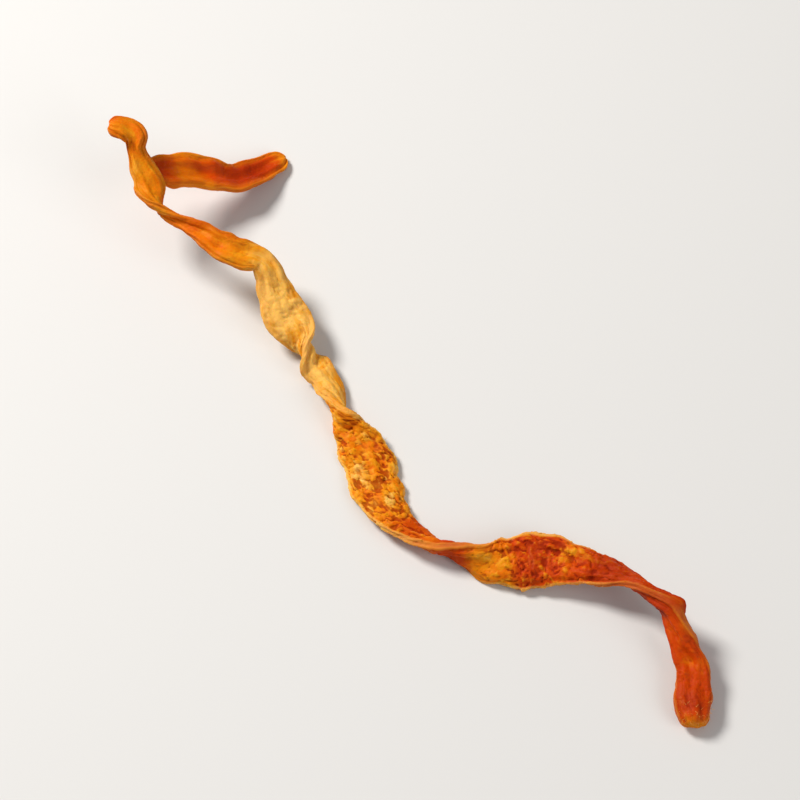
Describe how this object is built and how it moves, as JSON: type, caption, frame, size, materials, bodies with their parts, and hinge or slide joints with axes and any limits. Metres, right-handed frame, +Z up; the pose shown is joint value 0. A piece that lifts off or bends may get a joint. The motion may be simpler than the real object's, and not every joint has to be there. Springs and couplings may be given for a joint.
{
  "type": "dried cordyceps flower",
  "caption": "Dried cordyceps fruiting body: a long flat stem, twisted and wrinkled, from a blunt base to a hooked tip, with a short grooved side branch. It lies on a surface.",
  "frame": {"origin": "on the surface that the strand lies on, under the middle of its box", "axes": "+Z up from the surface; +Y from the blunt base end towards the forked tip end; +X to the side of the blunt base"},
  "size_m": [0.0464, 0.0508, 0.0094],
  "materials": {
    "stem_skin": "dried fungus skin, matt to satin, golden orange, wrinkled and finely granular",
    "branch_skin": "dried fungus skin, satin, deep red orange, with a furrow along it"
  },
  "bodies": {
    "root": {"stem": "stem_skin", "side_branch": "branch_skin"}
  },
  "joints": []
}
